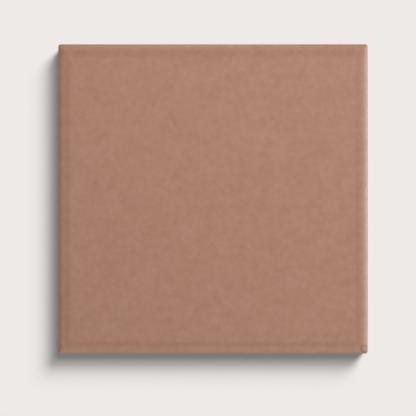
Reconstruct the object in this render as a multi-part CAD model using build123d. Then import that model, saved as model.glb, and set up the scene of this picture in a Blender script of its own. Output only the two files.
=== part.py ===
from build123d import *
import math
import os

# Square pressed ceramic tile: one fired piece, face up. It has a flat field with a cushioned rim
# along its four edges, upright lands that meet the joint, sides set back below them, and a waffle
# of shallow keying cells pressed into the back. The origin is the centre of the bedding plane
# under the ribs.

# Driving dimensions, in millimetres and degrees
face_side = 150.0  # width of the square face, from land to land
thickness = 9.0  # from the bedding plane to the flat of the face
corner_radius = 1.2  # plan radius of the four upright corners
cushion_width = 5.0  # band along each edge where the face falls away
roll_width = 2.9  # outer part of that band, which rolls down more
shoulder_lean = 4.5  # lean of the face where the roll begins
edge_lean = 38.0  # lean of the roll where it reaches the edge
arris_radius = 0.5  # rounding between the roll and the land
land_depth = 3.5  # how far below the face the upright part of a side ends
side_draft = 6.0  # lean of the sides below the land, towards the back
back_chamfer = 0.6  # bevel round the back
key_depth = 0.8  # depth of the keying cells, which is the height of the ribs
key_cells = 6  # cells along each side of the back
key_rib = 2.6  # width of a rib where it meets the bed
key_margin = 5.0  # plain border between the bevel and the outer cells
key_draft = 40.0  # lean of the cells' walls
key_corner_radius = 1.5  # plan radius of a cell's corners

# Sizes that follow
half_face = face_side / 2
land_height = thickness - land_depth
half_back = half_face - land_height * math.tan(math.radians(side_draft))
shoulder_sine = math.sin(math.radians(shoulder_lean))
shoulder_radius = (cushion_width - roll_width) / shoulder_sine
roll_radius = roll_width / (math.sin(math.radians(edge_lean)) - shoulder_sine)
key_field = 2 * (half_back - back_chamfer - key_margin)
key_pitch = (key_field + key_rib) / key_cells
key_cell = key_pitch - key_rib


def half_section():
    """Upright section from the tile's middle out to one edge, in the XZ plane."""
    field = Line((0, thickness), (half_face - cushion_width, thickness))
    shoulder = JernArc(field @ 1, (1, 0), shoulder_radius, -shoulder_lean)
    roll = JernArc(shoulder @ 1, shoulder % 1, roll_radius, shoulder_lean - edge_lean)
    land = Line(roll @ 1, (half_face, land_height))
    side = Line(land @ 1, (half_back, 0))
    middle = Polyline(side @ 1, (0, 0), field @ 0)
    section = make_face(field + shoulder + roll + land + side + middle)
    section = fillet(section.vertices().sort_by_distance(roll @ 1)[0], arris_radius)
    section = chamfer(section.vertices().sort_by_distance(side @ 1)[0], back_chamfer)
    return Plane.XZ * section


def straight_body():
    """Two crossed runs of the section, which meet in mitred corners."""
    section = half_section()
    run = extrude(section + mirror(section, Plane.YZ), face_side, both=True)
    return run & run.rotate(Axis.Z, 90)


def corner_turn():
    """The section's outer end, turned about the upright axis of one rounded corner."""
    axis_reach = half_face - corner_radius
    window = Pos(half_face, thickness / 2) * Rectangle(2 * corner_radius, 2 * thickness)
    end = half_section() & Plane.XZ * window
    turn = revolve(end, Axis((axis_reach, 0, 0), (0, 0, 1)), 90)
    return Pos(0, axis_reach, 0) * turn


def corner_block():
    """The square corner that the turned one takes the place of."""
    middle = half_face - corner_radius / 2
    return Pos(middle, middle, thickness / 2) * Box(corner_radius, corner_radius, 2 * thickness)


def keying_cells():
    """Shallow cells of the waffle back, pressed up from the bedding plane."""
    mouth = RectangleRounded(key_cell, key_cell, key_corner_radius)
    cell = extrude(mouth, key_depth, taper=key_draft)
    return GridLocations(key_pitch, key_pitch, key_cells, key_cells) * cell


def ceramic_tile():
    """The whole tile: crossed runs, rounded corners, and cells cut into the back."""
    corners = PolarLocations(0, 4)
    tile = straight_body() - corners * corner_block() + corners * corner_turn()
    return tile - keying_cells()


os.makedirs("parts", exist_ok=True)
export_step(ceramic_tile(), "parts/tile.step")
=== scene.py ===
import math

import bmesh
import bpy
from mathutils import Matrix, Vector, noise


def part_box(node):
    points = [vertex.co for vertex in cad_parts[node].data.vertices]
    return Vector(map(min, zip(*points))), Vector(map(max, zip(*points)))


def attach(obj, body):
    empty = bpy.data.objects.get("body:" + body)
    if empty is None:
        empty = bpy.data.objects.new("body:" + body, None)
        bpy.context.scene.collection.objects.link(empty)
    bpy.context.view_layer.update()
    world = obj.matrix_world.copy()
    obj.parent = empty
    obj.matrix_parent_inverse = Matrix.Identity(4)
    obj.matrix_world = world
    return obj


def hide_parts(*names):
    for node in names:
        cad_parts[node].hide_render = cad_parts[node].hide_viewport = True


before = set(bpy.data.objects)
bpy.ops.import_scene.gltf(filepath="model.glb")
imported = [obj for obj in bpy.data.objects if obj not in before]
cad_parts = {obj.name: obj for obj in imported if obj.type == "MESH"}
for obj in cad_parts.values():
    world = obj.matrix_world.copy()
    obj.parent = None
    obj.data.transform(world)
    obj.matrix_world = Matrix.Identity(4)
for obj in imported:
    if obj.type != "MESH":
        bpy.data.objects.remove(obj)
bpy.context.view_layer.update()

# Looks of a square pressed tile: a matt glaze over the cushioned face and upper edges, and bare
# fired clay on the lower sides and the waffle back. Lengths are in metres, angles in radians.

mm = 0.001

# Outer size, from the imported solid
half_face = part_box("tile")[1].x
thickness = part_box("tile")[1].z

# Section and back, as pressed
corner_radius = 1.2 * mm
cushion_width = 5.0 * mm  # how far in the face starts to fall away
roll_width = 2.9 * mm  # how far in it starts to turn down harder
shoulder_lean = math.radians(4.5)  # slope of the face there
edge_lean = math.radians(38)  # slope that it would have at the edge
arris_radius = 0.5 * mm
land_height = 5.5 * mm  # foot of the upright sides
side_draft = math.radians(6)  # how the sides lean in below that
back_chamfer = 0.6 * mm
key_depth = 0.8 * mm
key_cells = 6  # along each side
key_rib = 2.6 * mm  # between two cells
key_margin = 5.0 * mm  # plain border round them
key_draft = math.radians(40)
key_corner_radius = 1.5 * mm
key_lip_radius = 0.2 * mm

# Unevenness left by glazing and firing
edge_waver = 0.07 * mm  # how far an edge strays in from straight
edge_wave = 30.0 * mm
edge_reach = 9.0 * mm  # how far in from the edge that is felt
glaze_end = 6.7 * mm  # height of the glaze's lower edge on the sides
glaze_end_waver = 0.45 * mm
glaze_end_wave = 8.0 * mm
glaze_fade = 0.35 * mm  # height over which it thins out there
glaze_skin = 0.1 * mm  # its thickness on the sides
glaze_draw = 0.065 * mm  # how much thinner it is along the rim
glaze_draw_start = 5.4 * mm
glaze_draw_end = 3.1 * mm
face_dips = ((46.0 * mm, 0.07 * mm), (15.0 * mm, 0.014 * mm), (5.0 * mm, 0.006 * mm))  # wave and depth

# Which slice of the noise each unevenness is taken from
face_layer = 0.3
glaze_end_layer = 3.5
left_right_layer = 11.0
front_back_layer = 17.0
half_layer = 0.5  # two edges across from each other lie a whole layer apart

# One small burst bubble in the glaze, by a corner
blister_place = Vector((half_face - 2.1 * mm, 2.5 * mm - half_face))
blister_dome = 0.9 * mm  # how far out its middle is raised
blister_rise = 0.08 * mm
blister_ring = 1.5 * mm  # radius of the sunken ring round that
blister_ring_width = 0.6 * mm  # to either side of the radius
blister_sink = 0.10 * mm

# One shallow dimple in the field, longer than it is wide
dimple_place = Vector((-19.2 * mm, 36.3 * mm))
dimple_lie = Vector((1, -1.3)).normalized()  # which way its length runs
dimple_half_length = 2.9 * mm
dimple_half_width = 2.4 * mm
dimple_sink = 0.40 * mm

# How finely the mesh is cut
field_step = 1.0 * mm
corner_cuts = 4
roll_cuts = 7
shoulder_cuts = 4
margin_cuts = 3
margin_width = 3.0 * mm
fine_cuts = 2
arris_rings = 6
land_rings = 10
side_rings = 4
key_corner_segments = 4
key_lip_segments = 2
sharp_angle = math.radians(32)
weld_gap = 1e-7

# Sizes that follow
corner_reach = half_face - corner_radius
shoulder_radius = (cushion_width - roll_width) / math.sin(shoulder_lean)
shoulder_height = thickness - shoulder_radius
roll_radius = roll_width / (math.sin(edge_lean) - math.sin(shoulder_lean))
roll_inset = roll_radius * math.sin(edge_lean)
roll_height = shoulder_height + (shoulder_radius - roll_radius) * math.cos(shoulder_lean)
arris_tilt = math.asin((roll_inset - arris_radius) / (roll_radius - arris_radius))
arris_height = roll_height + (roll_radius - arris_radius) * math.cos(arris_tilt)
face_inset = arris_radius * (1 - math.sin(arris_tilt))
back_set_back = land_height * math.tan(side_draft)
key_field = 2 * (half_face - back_set_back - back_chamfer - key_margin)
key_pitch = (key_field + key_rib) / key_cells
key_run = key_depth * math.tan(key_draft)


def spread(start, end, steps):
    """Evenly spaced values from just after start up to end."""
    return [start + (end - start) * step / steps for step in range(1, steps + 1)]


def held_within(value, limit):
    """A value kept between minus and plus a limit."""
    return max(-limit, min(limit, value))


def ease(share):
    """Smooth rise from 0 to 1."""
    share = max(0.0, min(1.0, share))
    return share * share * (3 - 2 * share)


def hump(distance, width):
    """Smooth rise and fall that is 1 at no distance and 0 a width away."""
    return ease(1 - abs(distance) / width)


def ripple(x, y, wave, layer):
    """Smooth unevenness from 0 to 1, about a wave apart."""
    return 0.5 + 0.5 * noise.noise(Vector((x / wave, y / wave, layer)))


# The face

def rim_insets():
    """Distances in from an edge at which the face is cut, closest where it turns down."""
    insets = spread(face_inset, corner_radius, corner_cuts)
    insets += spread(corner_radius, roll_width, roll_cuts)
    insets += spread(roll_width, cushion_width, shoulder_cuts)
    return insets + spread(cushion_width, cushion_width + margin_width, margin_cuts)


def cut_sheet(bm):
    """A flat square sheet, cut along the rim lines and evenly over the field."""
    bmesh.ops.create_grid(bm, x_segments=1, y_segments=1, size=half_face - face_inset)
    for inset in rim_insets():
        for outward in (Vector((1, 0, 0)), Vector((-1, 0, 0)), Vector((0, 1, 0)), Vector((0, -1, 0))):
            sheet = bm.verts[:] + bm.edges[:] + bm.faces[:]
            cut = outward * (half_face - inset)
            bmesh.ops.bisect_plane(bm, geom=sheet, dist=weld_gap, plane_co=cut, plane_no=outward)
    field_edges = [edge for edge in bm.edges if edge.calc_length() > half_face]
    field_cuts = round(field_edges[0].calc_length() / field_step) - 1
    bmesh.ops.subdivide_edges(bm, edges=field_edges, cuts=field_cuts, use_grid_fill=True)


def refine_near(bm, place, reach):
    """Finer mesh around one place on the face."""
    near = []
    for edge in bm.edges:
        middle = (edge.verts[0].co.xy + edge.verts[1].co.xy) / 2
        if (middle - place).length < reach:
            near.append(edge)
    bmesh.ops.subdivide_edges(bm, edges=near, cuts=fine_cuts, use_grid_fill=True)


def turn_corner(x, y):
    """A plan place moved from its square ring onto the ring of the rounded corner."""
    past_x = abs(x) - corner_reach
    past_y = abs(y) - corner_reach
    if min(past_x, past_y) <= 0:
        return x, y
    ring = max(past_x, past_y)
    angle = math.pi / 4 * past_y / past_x
    if past_y > past_x:
        angle = math.pi / 2 - math.pi / 4 * past_x / past_y
    out_x = corner_reach + ring * math.cos(angle)
    out_y = corner_reach + ring * math.sin(angle)
    return math.copysign(out_x, x), math.copysign(out_y, y)


def face_height(inset):
    """Height of the pressed face at a distance in from its edge."""
    if inset < roll_width:
        return roll_height + math.sqrt(roll_radius**2 - (roll_inset - inset) ** 2)
    past = max(0.0, cushion_width - inset)
    return shoulder_height + math.sqrt(shoulder_radius**2 - past**2)


def cushion_face(bm):
    """Lets the sheet fall away along its edges and rounds its corners in plan."""
    for vert in bm.verts:
        x, y = vert.co.xy
        vert.co.z = face_height(half_face - max(abs(x), abs(y)))
        vert.co.xy = turn_corner(x, y)


# The edges and the back

def edge_rings():
    """Inset and height of each ring round the edge, from the arris down to the bedding plane."""
    rings = []
    for tilt in spread(arris_tilt, math.pi / 2, arris_rings):
        inset = arris_radius * (1 - math.sin(tilt))
        rings.append((inset, arris_height + arris_radius * math.cos(tilt)))
    for height in spread(arris_height, land_height, land_rings):
        rings.append((0.0, height))
    for height in spread(land_height, back_chamfer, side_rings):
        rings.append(((land_height - height) * math.tan(side_draft), height))
    rings.append((back_set_back + back_chamfer, 0.0))
    return rings


def sweep_edge(bm):
    """Carries the face's outer loop round the arris, down the sides and onto the bedding plane."""
    loop = [edge for edge in bm.edges if edge.is_boundary]
    for inset, height in edge_rings():
        grown = bmesh.ops.extrude_edge_only(bm, edges=loop)["geom"]
        for vert in [part for part in grown if isinstance(part, bmesh.types.BMVert)]:
            axis = Vector((held_within(vert.co.x, corner_reach), held_within(vert.co.y, corner_reach)))
            outward = (vert.co.xy - axis).normalized()
            vert.co.xy = axis + outward * (corner_radius - inset)
            vert.co.z = height
        loop = [part for part in grown if isinstance(part, bmesh.types.BMEdge) and part.is_boundary]


def waffle_back(bm):
    """Keying cells pressed up into the back, with rounded corners and softened lips."""
    half_grid = key_pitch * key_cells / 2
    grid = bmesh.ops.create_grid(bm, x_segments=key_cells, y_segments=key_cells, size=half_grid)
    cells = list(dict.fromkeys(face for vert in grid["verts"] for face in vert.link_faces))
    bmesh.ops.inset_individual(bm, faces=cells, thickness=key_rib / 2)
    bmesh.ops.inset_individual(bm, faces=cells, thickness=key_run, depth=key_depth)
    corners = []
    for cell in cells:
        for vert in cell.verts:
            corners += [edge for edge in vert.link_edges if edge not in cell.edges[:]]
    bmesh.ops.bevel(
        bm, geom=corners, offset=key_corner_radius, segments=key_corner_segments,
        profile=0.5, affect="EDGES", material=-1,
    )
    lips = []
    for edge in bm.edges:
        flat = all(abs(vert.co.z) < weld_gap for vert in edge.verts)
        if flat and edge.calc_face_angle(0.0) > sharp_angle:
            lips.append(edge)
    bmesh.ops.bevel(
        bm, geom=lips, offset=key_lip_radius, segments=key_lip_segments,
        profile=0.5, affect="EDGES", material=-1,
    )


def close_back(bm):
    """The plain border that joins the sides to the outer ribs."""
    gap = [edge for edge in bm.edges if edge.is_boundary]
    bmesh.ops.triangle_fill(bm, edges=gap, use_beauty=True, normal=(0, 0, -1))


# Glazing and firing

def glaze_cover(x, y, z):
    """How far the glaze covers a place: 1 above its wavering lower edge and 0 below."""
    end = glaze_end + glaze_end_waver * (2 * ripple(x, y, glaze_end_wave, glaze_end_layer) - 1)
    return ease(0.5 + (z - end) / glaze_fade)


def side_shift(along, across, bare, layer):
    """Shift of a place in from a nearby edge: the edge's waver, and the glaze that is missing there."""
    closeness = ease(1 - (half_face - abs(along)) / edge_reach)
    side_layer = layer + math.copysign(half_layer, along)
    waver = edge_waver * ripple(across, 0.0, edge_wave, side_layer)
    return -math.copysign(closeness * (waver + glaze_skin * bare), along)


def rim_draw(x, y):
    """How far the glaze's surface lies lower along the rim, where it draws back onto the field."""
    inset = half_face - max(abs(x), abs(y))
    return glaze_draw * ease((glaze_draw_start - inset) / (glaze_draw_start - glaze_draw_end))


def dimple_distance(x, y):
    """Distance from the dimple's middle, as a share of its half length and half width."""
    away = Vector((x, y)) - dimple_place
    along = away.dot(dimple_lie) / dimple_half_length
    across = away.cross(dimple_lie) / dimple_half_width
    return math.hypot(along, across)


def fire(bm):
    """Uneven face and edges, the blister and the dimple, and marks of where the glaze lies and of the
    blister's sunken ring, for its painted shade.
    """
    glazed = bm.verts.layers.float.new("glazed")
    painted_ring_shade = bm.verts.layers.float.new("painted_ring_shade")
    for vert in bm.verts:
        x, y, z = vert.co
        cover = glaze_cover(x, y, z)
        vert[glazed] = cover
        vert.co.x += side_shift(x, y, 1 - cover, left_right_layer)
        vert.co.y += side_shift(y, x, 1 - cover, front_back_layer)
        upper = ease((z - land_height) / (thickness - land_height))
        vert.co.z -= upper * rim_draw(x, y)
        for layer, (wave, depth) in enumerate(face_dips):
            vert.co.z -= upper * depth * ripple(x, y, wave, layer + face_layer)
        if z > land_height:
            away = (Vector((x, y)) - blister_place).length
            ring = hump(away - blister_ring, blister_ring_width)
            vert[painted_ring_shade] = ring
            vert.co.z += blister_rise * hump(away, blister_dome) - blister_sink * ring
            vert.co.z -= dimple_sink * hump(dimple_distance(x, y), 1.0)


def soften(bm):
    """Smooth shading, with the true corners of the section kept crisp."""
    for face in bm.faces:
        face.smooth = True
    for edge in bm.edges:
        edge.smooth = edge.calc_face_angle(0.0) < sharp_angle


def glazed_tile():
    """The whole tile as one closed mesh."""
    bm = bmesh.new()
    cut_sheet(bm)
    refine_near(bm, blister_place, blister_ring + blister_ring_width)
    refine_near(bm, dimple_place, dimple_half_length)
    cushion_face(bm)
    sweep_edge(bm)
    waffle_back(bm)
    close_back(bm)
    bmesh.ops.remove_doubles(bm, verts=bm.verts[:], dist=weld_gap)
    bmesh.ops.recalc_face_normals(bm, faces=bm.faces[:])
    fire(bm)
    soften(bm)
    mesh = bpy.data.meshes.new("glazed_tile")
    bm.to_mesh(mesh)
    bm.free()
    piece = bpy.data.objects.new("glazed_tile", mesh)
    bpy.context.scene.collection.objects.link(piece)
    return piece


# Finishes

class Number:
    """A socket that carries a number, on which arithmetic adds Math nodes."""

    def __init__(self, shader, socket):
        self.shader = shader
        self.socket = socket

    def math(self, operation, *values):
        """What a Math node makes of its values."""
        made = self.shader.node("ShaderNodeMath", {"operation": operation}, dict(enumerate(values)))
        return Number(self.shader, made.outputs[0])

    def __add__(self, other):
        return self.math("ADD", self, other)

    def __sub__(self, other):
        return self.math("SUBTRACT", self, other)

    def __rsub__(self, other):
        return self.math("SUBTRACT", other, self)

    def __mul__(self, other):
        return self.math("MULTIPLY", self, other)

    def __abs__(self):
        return self.math("ABSOLUTE", self)

    def or_more(self, other):
        """The larger of two numbers."""
        return self.math("MAXIMUM", self, other)

    def or_less(self, other):
        """The smaller of two numbers."""
        return self.math("MINIMUM", self, other)

    __radd__ = __add__
    __rmul__ = __mul__


class Shader:
    """A node tree that is built up node by node."""

    # The Mix node has sockets of one name for numbers, vectors and colours, so colours go by number
    mix_colours = (6, 7)
    mix_colour_result = 2

    def __init__(self, owner):
        owner.use_nodes = True
        self.tree = owner.node_tree
        self.tree.nodes.clear()

    def node(self, kind, settings, inputs):
        """A node with its settings made first, and then its sockets set or linked."""
        made = self.tree.nodes.new(kind)
        for name, value in settings.items():
            setattr(made, name, value)
        for name, value in inputs.items():
            value = value.socket if isinstance(value, Number) else value
            if isinstance(value, bpy.types.NodeSocket):
                self.tree.links.new(value, made.inputs[name])
            else:
                made.inputs[name].default_value = value
        return made

    def axis(self, place, name):
        """One coordinate of a place."""
        return Number(self, self.node("ShaderNodeSeparateXYZ", {}, {0: place}).outputs[name])

    def noise(self, place, wave, detail=2.0, twist=0.0):
        """Cloudy values about 0, a wave apart."""
        inputs = {"Vector": place, "Scale": 1 / wave, "Detail": detail, "Distortion": twist}
        return Number(self, self.node("ShaderNodeTexNoise", {}, inputs).outputs["Fac"]) - 0.5

    def ramp(self, value, start, end):
        """Smooth rise from 0 at start to 1 at end."""
        inputs = {"Value": value, "From Min": start, "From Max": end}
        made = self.node("ShaderNodeMapRange", {"interpolation_type": "SMOOTHSTEP"}, inputs)
        return Number(self, made.outputs["Result"])

    def attribute(self, name):
        """A value that the mesh carries at its points."""
        return Number(self, self.node("ShaderNodeAttribute", {"attribute_name": name}, {}).outputs["Fac"])

    def mix(self, share, first, second):
        """A colour between two others."""
        first_socket, second_socket = self.mix_colours
        inputs = {0: share, first_socket: first, second_socket: second}
        return self.node("ShaderNodeMix", {"data_type": "RGBA"}, inputs).outputs[self.mix_colour_result]

    def scale(self, tone, share):
        """A colour made brighter or darker."""
        inputs = {0: tone, "Scale": share}
        return self.node("ShaderNodeVectorMath", {"operation": "SCALE"}, inputs).outputs[0]

    def lift(self, tone, amount):
        """A colour with the same amount added to its red, green and blue."""
        return self.node("ShaderNodeVectorMath", {"operation": "ADD"}, {0: tone, 1: amount}).outputs[0]


def colour(red, green, blue):
    """A colour for a socket, in linear values."""
    return (red, green, blue, 1.0)


glaze_body = colour(0.352, 0.1764, 0.1132)
glaze_cool = colour(0.350, 0.1774, 0.1142)
# The thin glaze's tone, also used for the painted shade along the top edge
thin_glaze_and_shade_tone = colour(0.320, 0.1525, 0.0960)
glaze_break = colour(0.302, 0.119, 0.062)
# A dark tone for the painted shade in the blister's sunken ring
pit_painted_shade = colour(0.190, 0.088, 0.055)
clay_body = colour(0.500, 0.240, 0.145)
clay_dark = colour(0.390, 0.165, 0.092)
clay_grog = colour(0.600, 0.380, 0.270)
kiln_wash = colour(0.690, 0.600, 0.520)
paper_colour = colour(0.855, 0.823, 0.799)
plain_white = colour(1, 1, 1)

# Patterns in the glaze, from broad to fine, and how strongly each one shades it
cloud_wave = 32 * mm
cloud_detail = 3.0
cloud_twist = 0.4
cloud_turn = (-0.2, 0.2)
cloud_shade = 0.04
blotch_wave = 9 * mm
blotch_shade = 0.15
fleck_wave = 3.2 * mm
fleck_shade = 0.22
grain_wave = 0.9 * mm
grain_detail = 3.0
grain_shade = 0.17
shade_depth = 0.70
shade_lift = 0.14

# Bands along the rim, each from where it starts to where it is full, as distances in from the edge
rim_wave = 12 * mm
rim_waver = 0.6 * mm
thin_from_field = (7.0 * mm, 4.6 * mm)
thin_from_edge = (2.4 * mm, 4.6 * mm)
# Painted shade: a broader band along the top edge only, darkened with the thin glaze's tone
top_shade_from_field = (8.0 * mm, 4.4 * mm)
top_shade_from_edge = (1.0 * mm, 3.4 * mm)
top_painted_shade = 0.85
break_band = (1.0 * mm, 0.1 * mm)
break_cover = 0.4
# Painted shade: the rounded-over roll made slightly darker
roll_band = (3.2 * mm, 1.4 * mm)
roll_painted_shade = 0.03
rim_smooth_band = (4.0 * mm, 1.8 * mm)
rim_smoothing = 0.10
edge_smooth_band = (1.7 * mm, 0.5 * mm)
edge_smoothing = 0.15

# Surface of the glaze, with its relief in millimetres
# How strongly the painted shade darkens the blister's sunken ring
pit_shade_strength = 0.8
field_roughness = 0.65
grain_roughness = 0.2
grain_relief = 0.012
fleck_relief = 0.012
fired_specular = 0.6  # the same for the clay

# Patterns and surface of the bare clay, with its relief in millimetres
clay_cloud_wave = 22 * mm
clay_cloud_detail = 3.0
clay_cloud_turn = (-0.25, 0.2)
grit_wave = 1.4 * mm
grit_detail = 3.0
grit_shade = 0.25
grit_roughness = 0.2
grit_relief = 0.09
grog_wave = 0.55 * mm
grog_detail = 1.0
grog_turn = (0.14, 0.22)
grog_relief = 0.05
bare_roughness = 0.86

# Pale wash from the kiln shelf, only where the back stood on it
wash_heights = (0.12 * mm, 0.0)
wash_turn = (-0.12, 0.16)
wash_grit = 0.6
wash_cover = 0.45


def rim_distance(shader, place):
    """Distance in from the nearest edge, with a slight waver."""
    waver = shader.noise(place, rim_wave) * rim_waver
    inset_x, inset_y = (half_face - abs(shader.axis(place, name)) + waver for name in ("X", "Y"))
    return inset_x.or_less(inset_y)


def thin_glaze_and_top_shade(shader, place, inset):
    """Where the glaze lies thin on the rim's shoulder, and a broader band of painted shade along the top
    edge.
    """
    shoulder = shader.ramp(inset, *thin_from_field) * shader.ramp(inset, *thin_from_edge)
    top_inset = half_face - shader.axis(place, "Y")
    top_band_shade = shader.ramp(top_inset, *top_shade_from_field) * shader.ramp(top_inset, *top_shade_from_edge)
    return 1.0 - (1.0 - shoulder) * (1.0 - top_band_shade * top_painted_shade)


def glaze_look(shader, place):
    """Colour, roughness and relief of the matt glaze."""
    inset = rim_distance(shader, place)
    cloud = shader.noise(place, cloud_wave, cloud_detail, cloud_twist)
    blotch = shader.noise(place, blotch_wave)
    fleck = shader.noise(place, fleck_wave)
    grain = shader.noise(place, grain_wave, grain_detail)
    tone = shader.mix(shader.ramp(cloud, *cloud_turn), glaze_body, glaze_cool)
    # Thin glaze on the shoulder, and painted shade along the top edge
    tone = shader.mix(thin_glaze_and_top_shade(shader, place, inset), tone, thin_glaze_and_shade_tone)
    tone = shader.mix(shader.ramp(inset, *break_band) * break_cover, tone, glaze_break)
    # Painted shade: the blister's sunken ring darkened in colour
    tone = shader.mix(shader.attribute("painted_ring_shade") * pit_shade_strength, tone, pit_painted_shade)
    shade = cloud * cloud_shade + blotch * blotch_shade + fleck * fleck_shade + grain * grain_shade
    # Painted shade on the roll, as a slight darkening
    roll = shader.ramp(inset, *roll_band)
    tone = shader.scale(tone, 1.0 + shade * shade_depth - roll * roll_painted_shade)
    tone = shader.lift(tone, shade * shade_lift)
    smooth_rim = shader.ramp(inset, *rim_smooth_band) * rim_smoothing
    smooth_edge = shader.ramp(inset, *edge_smooth_band) * edge_smoothing
    roughness = field_roughness + grain * grain_roughness - (smooth_rim + smooth_edge)
    relief = grain * grain_relief + fleck * fleck_relief
    return tone, roughness, relief


def clay_look(shader, place):
    """Colour, roughness and relief of the bare fired clay."""
    cloud = shader.noise(place, clay_cloud_wave, clay_cloud_detail)
    grit = shader.noise(place, grit_wave, grit_detail)
    grog = shader.noise(place, grog_wave, grog_detail)
    tone = shader.mix(shader.ramp(cloud, *clay_cloud_turn), clay_dark, clay_body)
    tone = shader.mix(shader.ramp(grog, *grog_turn), tone, clay_grog)
    stood = shader.ramp(shader.axis(place, "Z"), *wash_heights)
    wash = stood * shader.ramp(cloud + grit * wash_grit, *wash_turn)
    tone = shader.mix(wash * wash_cover, tone, kiln_wash)
    tone = shader.scale(tone, 1.0 + grit * grit_shade)
    roughness = bare_roughness + grit * grit_roughness
    relief = grit * grit_relief + grog * grog_relief
    return tone, roughness, relief


def fired_tile():
    """Glaze over clay, as far as the glaze reaches."""
    material = bpy.data.materials.new("fired_tile")
    shader = Shader(material)
    place = shader.node("ShaderNodeTexCoord", {}, {}).outputs["Object"]
    glaze_tone, glaze_roughness, glaze_relief = glaze_look(shader, place)
    clay_tone, clay_roughness, clay_relief = clay_look(shader, place)
    cover = shader.attribute("glazed")
    bare = 1.0 - cover
    relief = glaze_relief * cover + clay_relief * bare
    bump = shader.node("ShaderNodeBump", {}, {"Height": relief, "Distance": mm})
    surface = shader.node(
        "ShaderNodeBsdfPrincipled", {},
        {
            "Base Color": shader.mix(cover, clay_tone, glaze_tone),
            "Roughness": glaze_roughness * cover + clay_roughness * bare,
            "Specular IOR Level": fired_specular,
            "Normal": bump.outputs["Normal"],
        },
    )
    shader.node("ShaderNodeOutputMaterial", {}, {"Surface": surface.outputs["BSDF"]})
    return material


# Stage, light and camera

# The picture, and the tile's width and middle in it, in pixels from its top left
picture_side = 416
tile_span = 310
tile_middle = (213, 199)
metres_per_pixel = 2 * half_face / tile_span

# Camera, in millimetres
lens = 150.0
sensor_width = 36.0

# Paper
floor_half = 6.0
floor_gap = 0.1 * mm  # from the tile's back down to it

# Lamps: where they hang, how wide they are, and their share of a full, even light

# A wide soft box low on the right
side_box_azimuth = math.radians(2)
side_box_elevation = math.radians(31)
side_box_distance = 1.2
side_box_radius = 0.33
side_box_share = 0.33

# A soft box and a small low lamp close beyond the top edge
top_box_azimuth = math.radians(90)
top_box_elevation = math.radians(60)
top_box_distance = 0.40
top_box_radius = 0.14
top_box_share = 0.187
strip_azimuth = math.radians(90)
strip_elevation = math.radians(28)
strip_distance = 0.45
strip_radius = 0.05
strip_share = 0.066

# A broad fill from the near side
fill_azimuth = math.radians(268)
fill_elevation = math.radians(49)
fill_distance = 1.6
fill_radius = 0.8
fill_share = 0.175

# Two far lamps on the paper, which give its shadow a dark root and a soft end
paper_low_azimuth = math.radians(52)
paper_low_elevation = math.radians(32)
paper_low_spread = math.radians(29)
paper_low_share = 0.568
paper_high_azimuth = math.radians(55)
paper_high_elevation = math.radians(59)
paper_high_spread = math.radians(20)
paper_high_share = 0.195

# Even light from all round
world_share = 0.237


def paper_floor():
    """A wide sheet of pale paper under the tile."""
    bm = bmesh.new()
    bmesh.ops.create_grid(bm, x_segments=1, y_segments=1, size=floor_half)
    bmesh.ops.translate(bm, verts=bm.verts[:], vec=(0, 0, -floor_gap))
    mesh = bpy.data.meshes.new("paper_floor")
    bm.to_mesh(mesh)
    bm.free()
    floor = bpy.data.objects.new("paper_floor", mesh)
    bpy.context.scene.collection.objects.link(floor)
    mesh.materials.append(pale_paper())
    return floor


def pale_paper():
    """Plain matt paper."""
    material = bpy.data.materials.new("pale_paper")
    shader = Shader(material)
    surface = shader.node(
        "ShaderNodeBsdfPrincipled", {},
        {"Base Color": paper_colour, "Roughness": 1.0, "Specular IOR Level": 0.0},
    )
    shader.node("ShaderNodeOutputMaterial", {}, {"Surface": surface.outputs["BSDF"]})
    return material


def pale_surroundings():
    """The paper's own colour wherever the camera or a reflection looks, and a low even light."""
    world = bpy.data.worlds.new("pale_surroundings")
    bpy.context.scene.world = world
    shader = Shader(world)
    rays = shader.node("ShaderNodeLightPath", {}, {}).outputs
    seen = Number(shader, rays["Is Camera Ray"])
    for kind in ("Is Glossy Ray", "Is Transmission Ray"):
        seen = seen.or_more(Number(shader, rays[kind]))
    backdrop = shader.node("ShaderNodeBackground", {}, {"Color": paper_colour, "Strength": 1.0})
    even = shader.node("ShaderNodeBackground", {}, {"Color": plain_white, "Strength": world_share})
    both = shader.node("ShaderNodeMixShader", {}, {0: seen, 1: even.outputs[0], 2: backdrop.outputs[0]})
    shader.node("ShaderNodeOutputWorld", {}, {"Surface": both.outputs[0]})


def hang_lamp(name, lamp, azimuth, elevation, distance=1.0):
    """Hangs a lamp on the side of the tile that its angles give, aimed at the middle."""
    level = math.cos(elevation)
    towards = Vector((level * math.cos(azimuth), level * math.sin(azimuth), math.sin(elevation)))
    rig = bpy.data.objects.new(name, lamp)
    rig.location = towards * distance
    rig.rotation_euler = towards.to_track_quat("Z", "Y").to_euler()
    rig.visible_camera = False
    bpy.context.scene.collection.objects.link(rig)
    return rig


def far_lamp(name, azimuth, elevation, angle, share):
    """A far, soft source that gives level ground its share of a full light, wherever it hangs."""
    lamp = bpy.data.lights.new(name, "SUN")
    lamp.angle = angle
    lamp.energy = share * math.pi / math.sin(elevation)
    return hang_lamp(name, lamp, azimuth, elevation)


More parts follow.
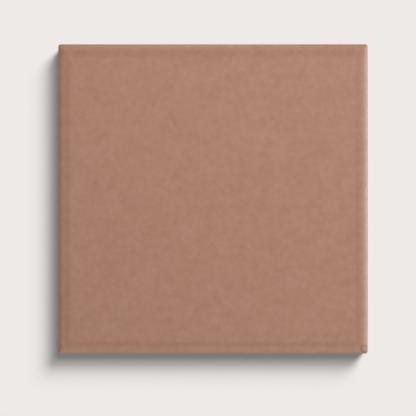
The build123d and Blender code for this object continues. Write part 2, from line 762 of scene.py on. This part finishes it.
def near_lamp(name, azimuth, elevation, distance, radius, share):
    """A round soft box that gives the tile's middle its share of a full light, and falls off across it."""
    lamp = bpy.data.lights.new(name, "AREA")
    lamp.shape = "DISK"
    lamp.size = 2 * radius
    lamp.energy = share * math.pi / math.sin(elevation) * math.pi * (distance**2 + radius**2)
    return hang_lamp(name, lamp, azimuth, elevation, distance)


def keep_light_on(rig, piece):
    """Keeps a lamp's light to one piece."""
    lit = bpy.data.collections.new("lit_by_" + rig.name)
    lit.objects.link(piece)
    rig.light_linking.receiver_collection = lit


def light_tile(tile):
    """Soft boxes beyond the right, top and near edges of the tile."""
    side_box = near_lamp(
        "side_box", side_box_azimuth, side_box_elevation, side_box_distance, side_box_radius, side_box_share
    )
    top_box = near_lamp(
        "top_box", top_box_azimuth, top_box_elevation, top_box_distance, top_box_radius, top_box_share
    )
    strip = near_lamp("strip", strip_azimuth, strip_elevation, strip_distance, strip_radius, strip_share)
    fill = near_lamp("fill", fill_azimuth, fill_elevation, fill_distance, fill_radius, fill_share)
    for rig in (side_box, top_box, strip, fill):
        keep_light_on(rig, tile)


def light_paper(floor):
    """Light that lies evenly on the paper and gives the tile its soft shadow."""
    low = far_lamp("paper_low", paper_low_azimuth, paper_low_elevation, paper_low_spread, paper_low_share)
    high = far_lamp(
        "paper_high", paper_high_azimuth, paper_high_elevation, paper_high_spread, paper_high_share
    )
    for rig in (low, high):
        keep_light_on(rig, floor)


def look_down():
    """The camera straight above, with the tile at its place in the picture."""
    camera = bpy.data.objects.new("camera", bpy.data.cameras.new("camera"))
    camera.data.lens = lens
    camera.data.sensor_width = sensor_width
    offset_x = (picture_side / 2 - tile_middle[0]) * metres_per_pixel
    offset_y = (tile_middle[1] - picture_side / 2) * metres_per_pixel
    height = thickness + picture_side * metres_per_pixel * lens / sensor_width
    camera.location = (offset_x, offset_y, height)
    bpy.context.scene.collection.objects.link(camera)
    bpy.context.scene.camera = camera


tile = glazed_tile()
tile.data.materials.append(fired_tile())
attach(tile, "root")
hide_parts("tile")

# The tile throws none of its colour onto the paper, so that the shadow there stays grey
tile.visible_diffuse = False

pale_surroundings()
light_tile(tile)
light_paper(paper_floor())
look_down()
bpy.context.scene.view_settings.view_transform = "Standard"
